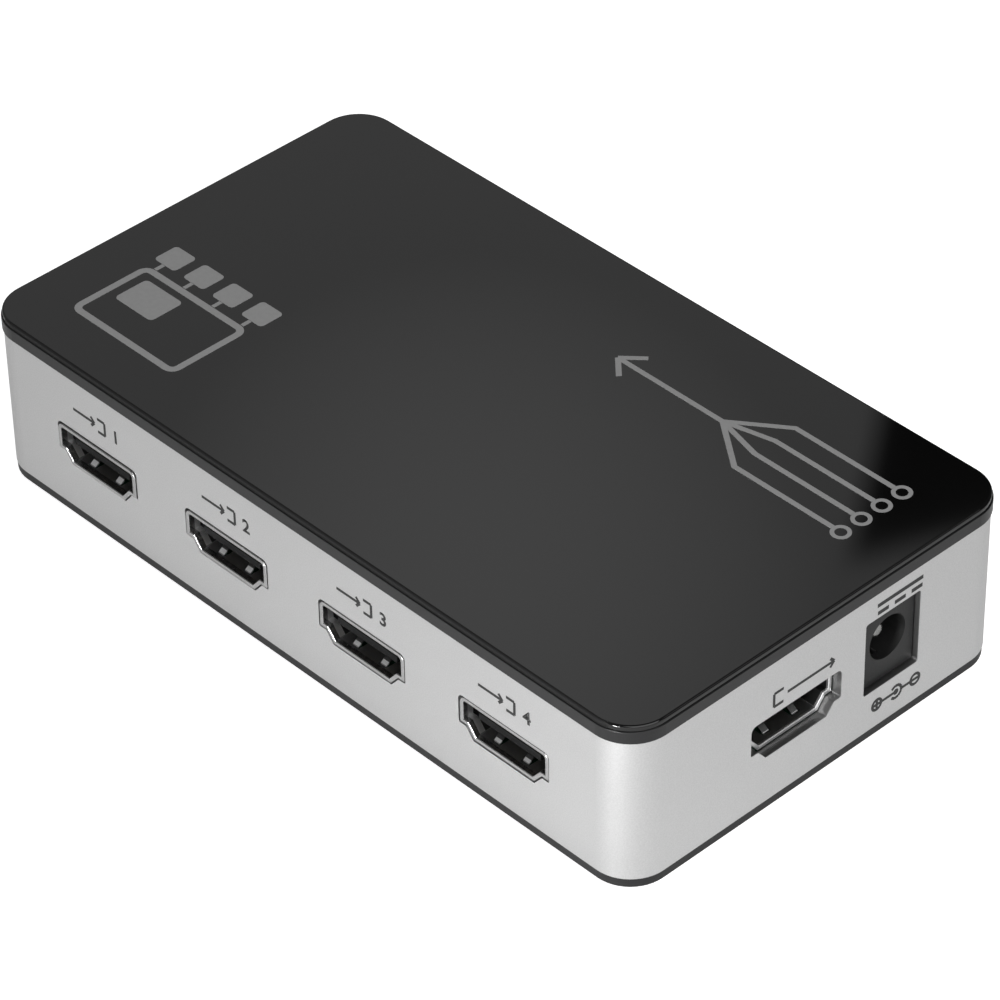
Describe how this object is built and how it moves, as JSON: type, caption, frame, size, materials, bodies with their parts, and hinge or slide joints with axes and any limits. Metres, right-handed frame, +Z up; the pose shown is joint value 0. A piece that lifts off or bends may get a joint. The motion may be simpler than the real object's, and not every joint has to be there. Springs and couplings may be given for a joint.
{
  "type": "video switch",
  "caption": "Flat box-shaped video switch with a row of video inputs on one long side, an output and a power inlet on one end, and keys and lamps on the other long side.",
  "frame": {"origin": "under the middle of the case, on the surface its feet stand on", "axes": "+X along the long side towards the output and the power inlet, +Y from the inputs towards the keys and lamps, +Z up"},
  "size_m": [0.1174, 0.0657, 0.026],
  "materials": {
    "plate_gloss": "glossy, slight texture, rounded edge",
    "cover_black": "fine matt black plastic",
    "band_silver": "satin, fine bead-blasted grain",
    "base_black": "fine matt black plastic",
    "foot_rubber": "matt",
    "screw_steel": "dark zinc",
    "board_green": "solder mask over glass fibre",
    "socket_metal": "nickel plated sheet",
    "socket_black": "moulded insulator",
    "contact_gold": "gold plated",
    "jack_black": "moulded housing",
    "pin_metal": "nickel plated",
    "blade_metal": "nickel plated spring strip",
    "chip_black": "moulded package",
    "coil_grey": "ferrite",
    "can_silver": "bare can on a dark foot",
    "crystal_metal": "pressed can",
    "bit_tan": "ceramic",
    "lamp_white": "clear over white",
    "guide_clear": "clear moulding",
    "window_dark": "very dark red",
    "receiver_dark": "moulded package",
    "key_black": "satin black",
    "plunger_white": "moulded",
    "switch_black": "moulded",
    "switch_metal": "pressed sheet"
  },
  "bodies": {
    "housing": {"top_plate": "plate_gloss", "top_cover": "cover_black", "side_band": "band_silver", "bottom_cover": "base_black", "cover_screws": "screw_steel", "board_screws": "screw_steel", "main_board": "board_green", "output_shell": "socket_metal", "output_tongue": "socket_black", "output_contacts": "contact_gold", "jack_body": "jack_black", "jack_pin": "pin_metal", "jack_spring": "blade_metal", "video_chip": "chip_black", "control_chip": "chip_black", "memory_chip": "chip_black", "regulator": "chip_black", "inductor": "coil_grey", "capacitors": "can_silver", "crystal": "crystal_metal", "port_chips": "chip_black", "small_parts": "bit_tan", "status_lamps": "lamp_white", "light_guide": "guide_clear", "ir_receiver": "receiver_dark", "ir_window": "window_dark", "foot_1": "foot_rubber", "input_shell_1": "socket_metal", "input_tongue_1": "socket_black", "input_contacts_1": "contact_gold", "foot_2": "foot_rubber", "input_shell_2": "socket_metal", "input_tongue_2": "socket_black", "input_contacts_2": "contact_gold", "foot_3": "foot_rubber", "input_shell_3": "socket_metal", "input_tongue_3": "socket_black", "input_contacts_3": "contact_gold", "foot_4": "foot_rubber", "input_shell_4": "socket_metal", "input_tongue_4": "socket_black", "input_contacts_4": "contact_gold", "select_switch": "switch_black", "select_switch_cover": "switch_metal", "select_dome": "switch_metal", "picture_switch": "switch_black", "picture_switch_cover": "switch_metal", "picture_dome": "switch_metal"},
    "select_key": {"select_button": "key_black", "select_plunger": "plunger_white"},
    "picture_key": {"picture_button": "key_black", "picture_plunger": "plunger_white"}
  },
  "joints": [
    {"name": "select_press", "type": "slide", "parent": "housing", "child": "select_key", "axis": [0, -1, 0], "range_m": [0, 0.0003], "stiffness_N_per_m": 3000, "springref_m": -0.0003},
    {"name": "picture_press", "type": "slide", "parent": "housing", "child": "picture_key", "axis": [0, -1, 0], "range_m": [0, 0.0003], "stiffness_N_per_m": 3000, "springref_m": -0.0003}
  ]
}
